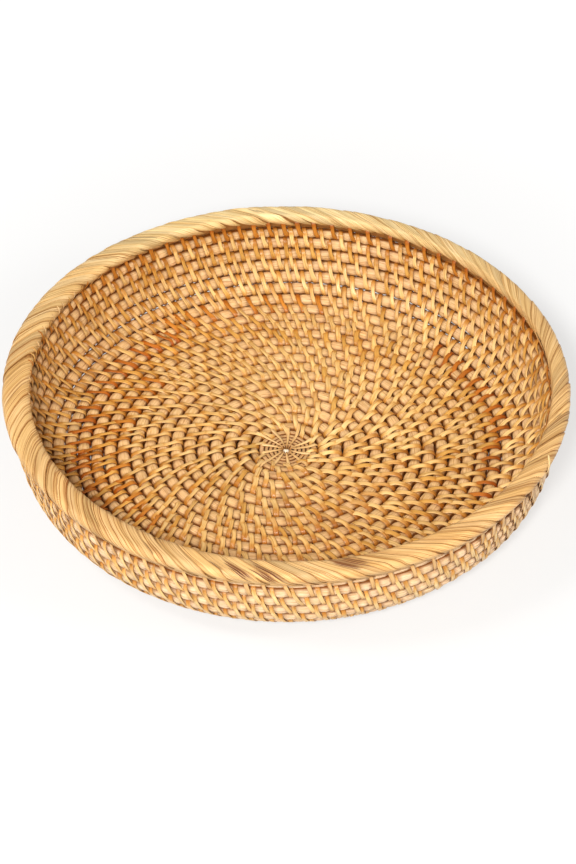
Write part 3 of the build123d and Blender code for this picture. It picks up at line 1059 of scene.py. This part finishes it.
fl = bpy.data.meshes.new("stage_floor")
fl.from_pydata([(-6, -6, 0), (6, -6, 0), (6, 6, 0), (-6, 6, 0)], [], [(0, 1, 2, 3)])
flo = bpy.data.objects.new("stage_floor", fl)
bpy.context.scene.collection.objects.link(flo)
fm = plain("stage_white", (0.25, 0.25, 0.25), 0.9)
fb = fm.node_tree.nodes["Principled BSDF"]
fb.inputs["Emission Color"].default_value = (1.0, 1.0, 1.0, 1)
geo = nd(fm.node_tree, "ShaderNodeTexCoord")
ln = nd(fm.node_tree, "ShaderNodeVectorMath", operation='LENGTH')
fm.node_tree.links.new(geo.outputs["Object"], ln.inputs[0])
# the floor glows white; the glow fades out between 88 and 128 mm from the centre, a painted shadow
# round the tray's foot
foot_shadow_glow = nd(fm.node_tree, "ShaderNodeMapRange", interpolation_type='SMOOTHSTEP')
foot_shadow_glow.inputs[1].default_value = 0.088
foot_shadow_glow.inputs[2].default_value = 0.128
foot_shadow_glow.inputs[3].default_value = 0.0
foot_shadow_glow.inputs[4].default_value = 0.64
fm.node_tree.links.new(ln.outputs["Value"], foot_shadow_glow.inputs[0])
# painted light: a glowing dot of 2.6 mm radius under the centre hole, so the hole shows white
hole_glow_dot = nd(fm.node_tree, "ShaderNodeMath", operation='LESS_THAN')
hole_glow_dot.inputs[1].default_value = 0.0026
fm.node_tree.links.new(ln.outputs["Value"], hole_glow_dot.inputs[0])
su = nd(fm.node_tree, "ShaderNodeMath", operation='ADD')
fm.node_tree.links.new(foot_shadow_glow.outputs[0], su.inputs[0])
fm.node_tree.links.new(hole_glow_dot.outputs[0], su.inputs[1])
fr = nd(fm.node_tree, "ShaderNodeMapRange")
fr.inputs[1].default_value = 0.185
fr.inputs[2].default_value = 0.60
fr.inputs[3].default_value = 0.0
fr.inputs[4].default_value = 0.30
fm.node_tree.links.new(ln.outputs["Value"], fr.inputs[0])
sv = nd(fm.node_tree, "ShaderNodeMath", operation='ADD')
fm.node_tree.links.new(su.outputs[0], sv.inputs[0])
fm.node_tree.links.new(fr.outputs[0], sv.inputs[1])
fm.node_tree.links.new(sv.outputs[0], fb.inputs["Emission Strength"])
fl.materials.append(fm)
flo.location.z = -0.0001

world = bpy.data.worlds.new("studio")
bpy.context.scene.world = world
world.use_nodes = True
bg = world.node_tree.nodes["Background"]
wn = world.node_tree
tc = wn.nodes.new("ShaderNodeTexCoord")
sp = wn.nodes.new("ShaderNodeSeparateXYZ")
wr = wn.nodes.new("ShaderNodeMapRange")
wr.interpolation_type = 'SMOOTHSTEP'
wr.inputs[1].default_value = 0.08
wr.inputs[2].default_value = 0.24
wr.inputs[3].default_value = 1.0
wr.inputs[4].default_value = 0.33
wn.links.new(tc.outputs["Generated"], sp.inputs[0])
wn.links.new(sp.outputs["Z"], wr.inputs[0])
wn.links.new(wr.outputs[0], bg.inputs[1])
wf = wn.nodes.new("ShaderNodeMapRange")
wf.inputs[1].default_value = 0.08
wf.inputs[2].default_value = 0.24
wn.links.new(sp.outputs["Z"], wf.inputs[0])
wc = wn.nodes.new("ShaderNodeMix")
wc.data_type = 'RGBA'
wc.inputs[6].default_value = (1.0, 1.0, 1.0, 1)
wc.inputs[7].default_value = (1.0, 0.965, 0.91, 1)
wn.links.new(wf.outputs[0], wc.inputs[0])
wn.links.new(wc.outputs[2], bg.inputs[0])


def area(name, loc, target, size, power, color=(1, 1, 1)):
    d = bpy.data.lights.new(name, 'AREA')
    d.shape = 'DISK'
    d.size = size
    d.energy = power
    d.color = color
    o = bpy.data.objects.new(name, d)
    bpy.context.scene.collection.objects.link(o)
    o.location = loc
    v = Vector(target) - Vector(loc)
    o.rotation_euler = v.to_track_quat('-Z', 'Y').to_euler()
    return o


area("key", (-0.18, -1.22, 1.12), (0, 0, 0), 0.28, 25.5, (1.0, 0.99, 0.97))
area("fill", (1.15, -0.45, 0.95), (0, 0, 0), 0.45, 5.0, (1.0, 0.975, 0.94))
area("top", (-0.85, -0.25, 1.25), (0, 0, 0), 0.4, 6.5, (1.0, 0.99, 0.98))

# ------------------------------------------------------------------ camera
elev, dist, foc = 0.72982, 1.7740, 3312.74
tgt = np.array([0.000938, 0.0, 0.01734])
roll = 0.0050
fwd = np.array([0, math.cos(elev), -math.sin(elev)])
C = tgt - dist * fwd
right = np.array([1.0, 0, 0])
up = np.cross(right, fwd)
c, s = math.cos(roll), math.sin(roll)
r2 = c * right + s * up
u2 = -s * right + c * up
cam = bpy.data.cameras.new("camera")
cam.sensor_fit = 'AUTO'
cam.sensor_width = 36.0
cam.lens = foc * 36.0 / 864.0
cam.clip_end = 50
co = bpy.data.objects.new("camera", cam)
bpy.context.scene.collection.objects.link(co)
M = Matrix.Identity(4)
for i in range(3):
    M[i][0] = r2[i]
    M[i][1] = u2[i]
    M[i][2] = -fwd[i]
    M[i][3] = C[i]
co.matrix_world = M
bpy.context.scene.camera = co
bpy.context.scene.view_settings.view_transform = 'Standard'
bpy.context.scene.view_settings.look = 'None'
bpy.context.scene.view_settings.gamma = 0.93
bpy.context.scene.view_settings.exposure = 0.03
